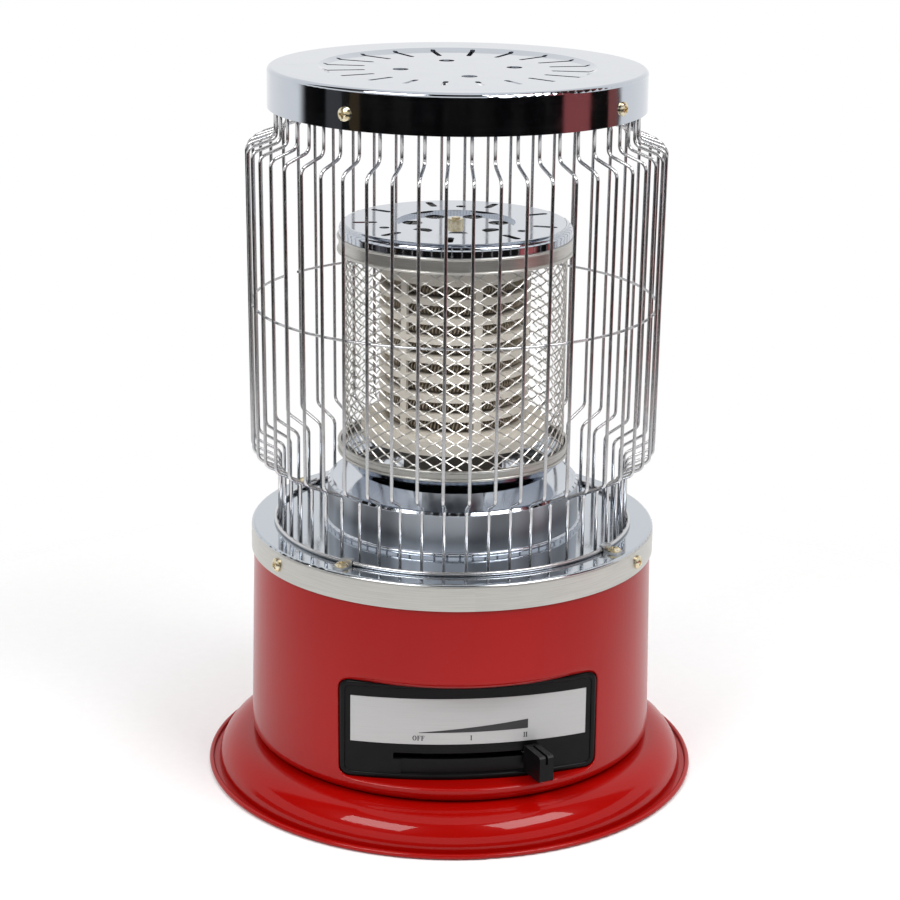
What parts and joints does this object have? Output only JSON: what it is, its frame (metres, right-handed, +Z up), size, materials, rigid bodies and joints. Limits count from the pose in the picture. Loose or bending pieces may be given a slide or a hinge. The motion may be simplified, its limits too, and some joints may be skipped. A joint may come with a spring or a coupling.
{
  "type": "electric cage heater",
  "caption": "Free-standing radiant heater: a ceramic element in a mesh sleeve inside a bent-wire guard, on a round drum with a slider switch and a wide base flange.",
  "frame": {"origin": "centre of the base flange, on the surface that the heater stands on", "axes": "+Z up along the drum's axis, -Y towards the control panel, +X to the right of someone facing the panel"},
  "size_m": [0.3, 0.3, 0.4329],
  "materials": {
    "red_paint": "gloss enamel",
    "zinc_sheet": "satin",
    "passivated_screw": "yellow passivated",
    "black_rubber": "matte",
    "terminal_plastic": "matte",
    "panel_plastic": "satin",
    "scale_metal": "satin",
    "switch_plastic": "matte",
    "spindle_brass": "machined",
    "brushed_collar": "brushed",
    "chrome_sheet": "mirror",
    "ceramic": "unglazed",
    "heating_wire": "oxidised",
    "mesh_steel": "bright",
    "chrome_wire": "polished"
  },
  "bodies": {
    "heater": {"base_ring": "red_paint", "body_shell": "red_paint", "bottom_plate": "zinc_sheet", "switch_bracket": "zinc_sheet", "element_spacer": "zinc_sheet", "guard_clips": "zinc_sheet", "cap_lugs": "zinc_sheet", "base_screws": "passivated_screw", "collar_screws": "passivated_screw", "guard_clip_screws": "passivated_screw", "cap_screws": "passivated_screw", "tie_rod": "passivated_screw", "rod_nuts": "passivated_screw", "cable_grommet": "black_rubber", "terminal_block": "terminal_plastic", "panel_bezel": "panel_plastic", "scale_plate": "scale_metal", "rotary_switch": "switch_plastic", "deck_collar": "brushed_collar", "element_band": "brushed_collar", "element_tray": "brushed_collar", "reflector_drum": "chrome_sheet", "element_lid": "chrome_sheet", "top_cap": "chrome_sheet", "ceramic_foot": "ceramic", "ceramic_former": "ceramic", "heating_coil": "heating_wire", "element_mesh": "mesh_steel", "guard_wires": "chrome_wire", "guard_mid_ring": "chrome_wire", "guard_bottom_ring": "chrome_wire", "guard_top_ring": "chrome_wire"},
    "slider": {"control_knob": "panel_plastic", "control_lever": "zinc_sheet", "switch_spindle": "spindle_brass", "lever_screw": "passivated_screw"}
  },
  "joints": [
    {"name": "slider_turn", "type": "hinge", "parent": "heater", "child": "slider", "pos_m": [0, -0.008, 0.0456], "axis": [0, 0, 1], "range_deg": [-39.11, 0]}
  ]
}
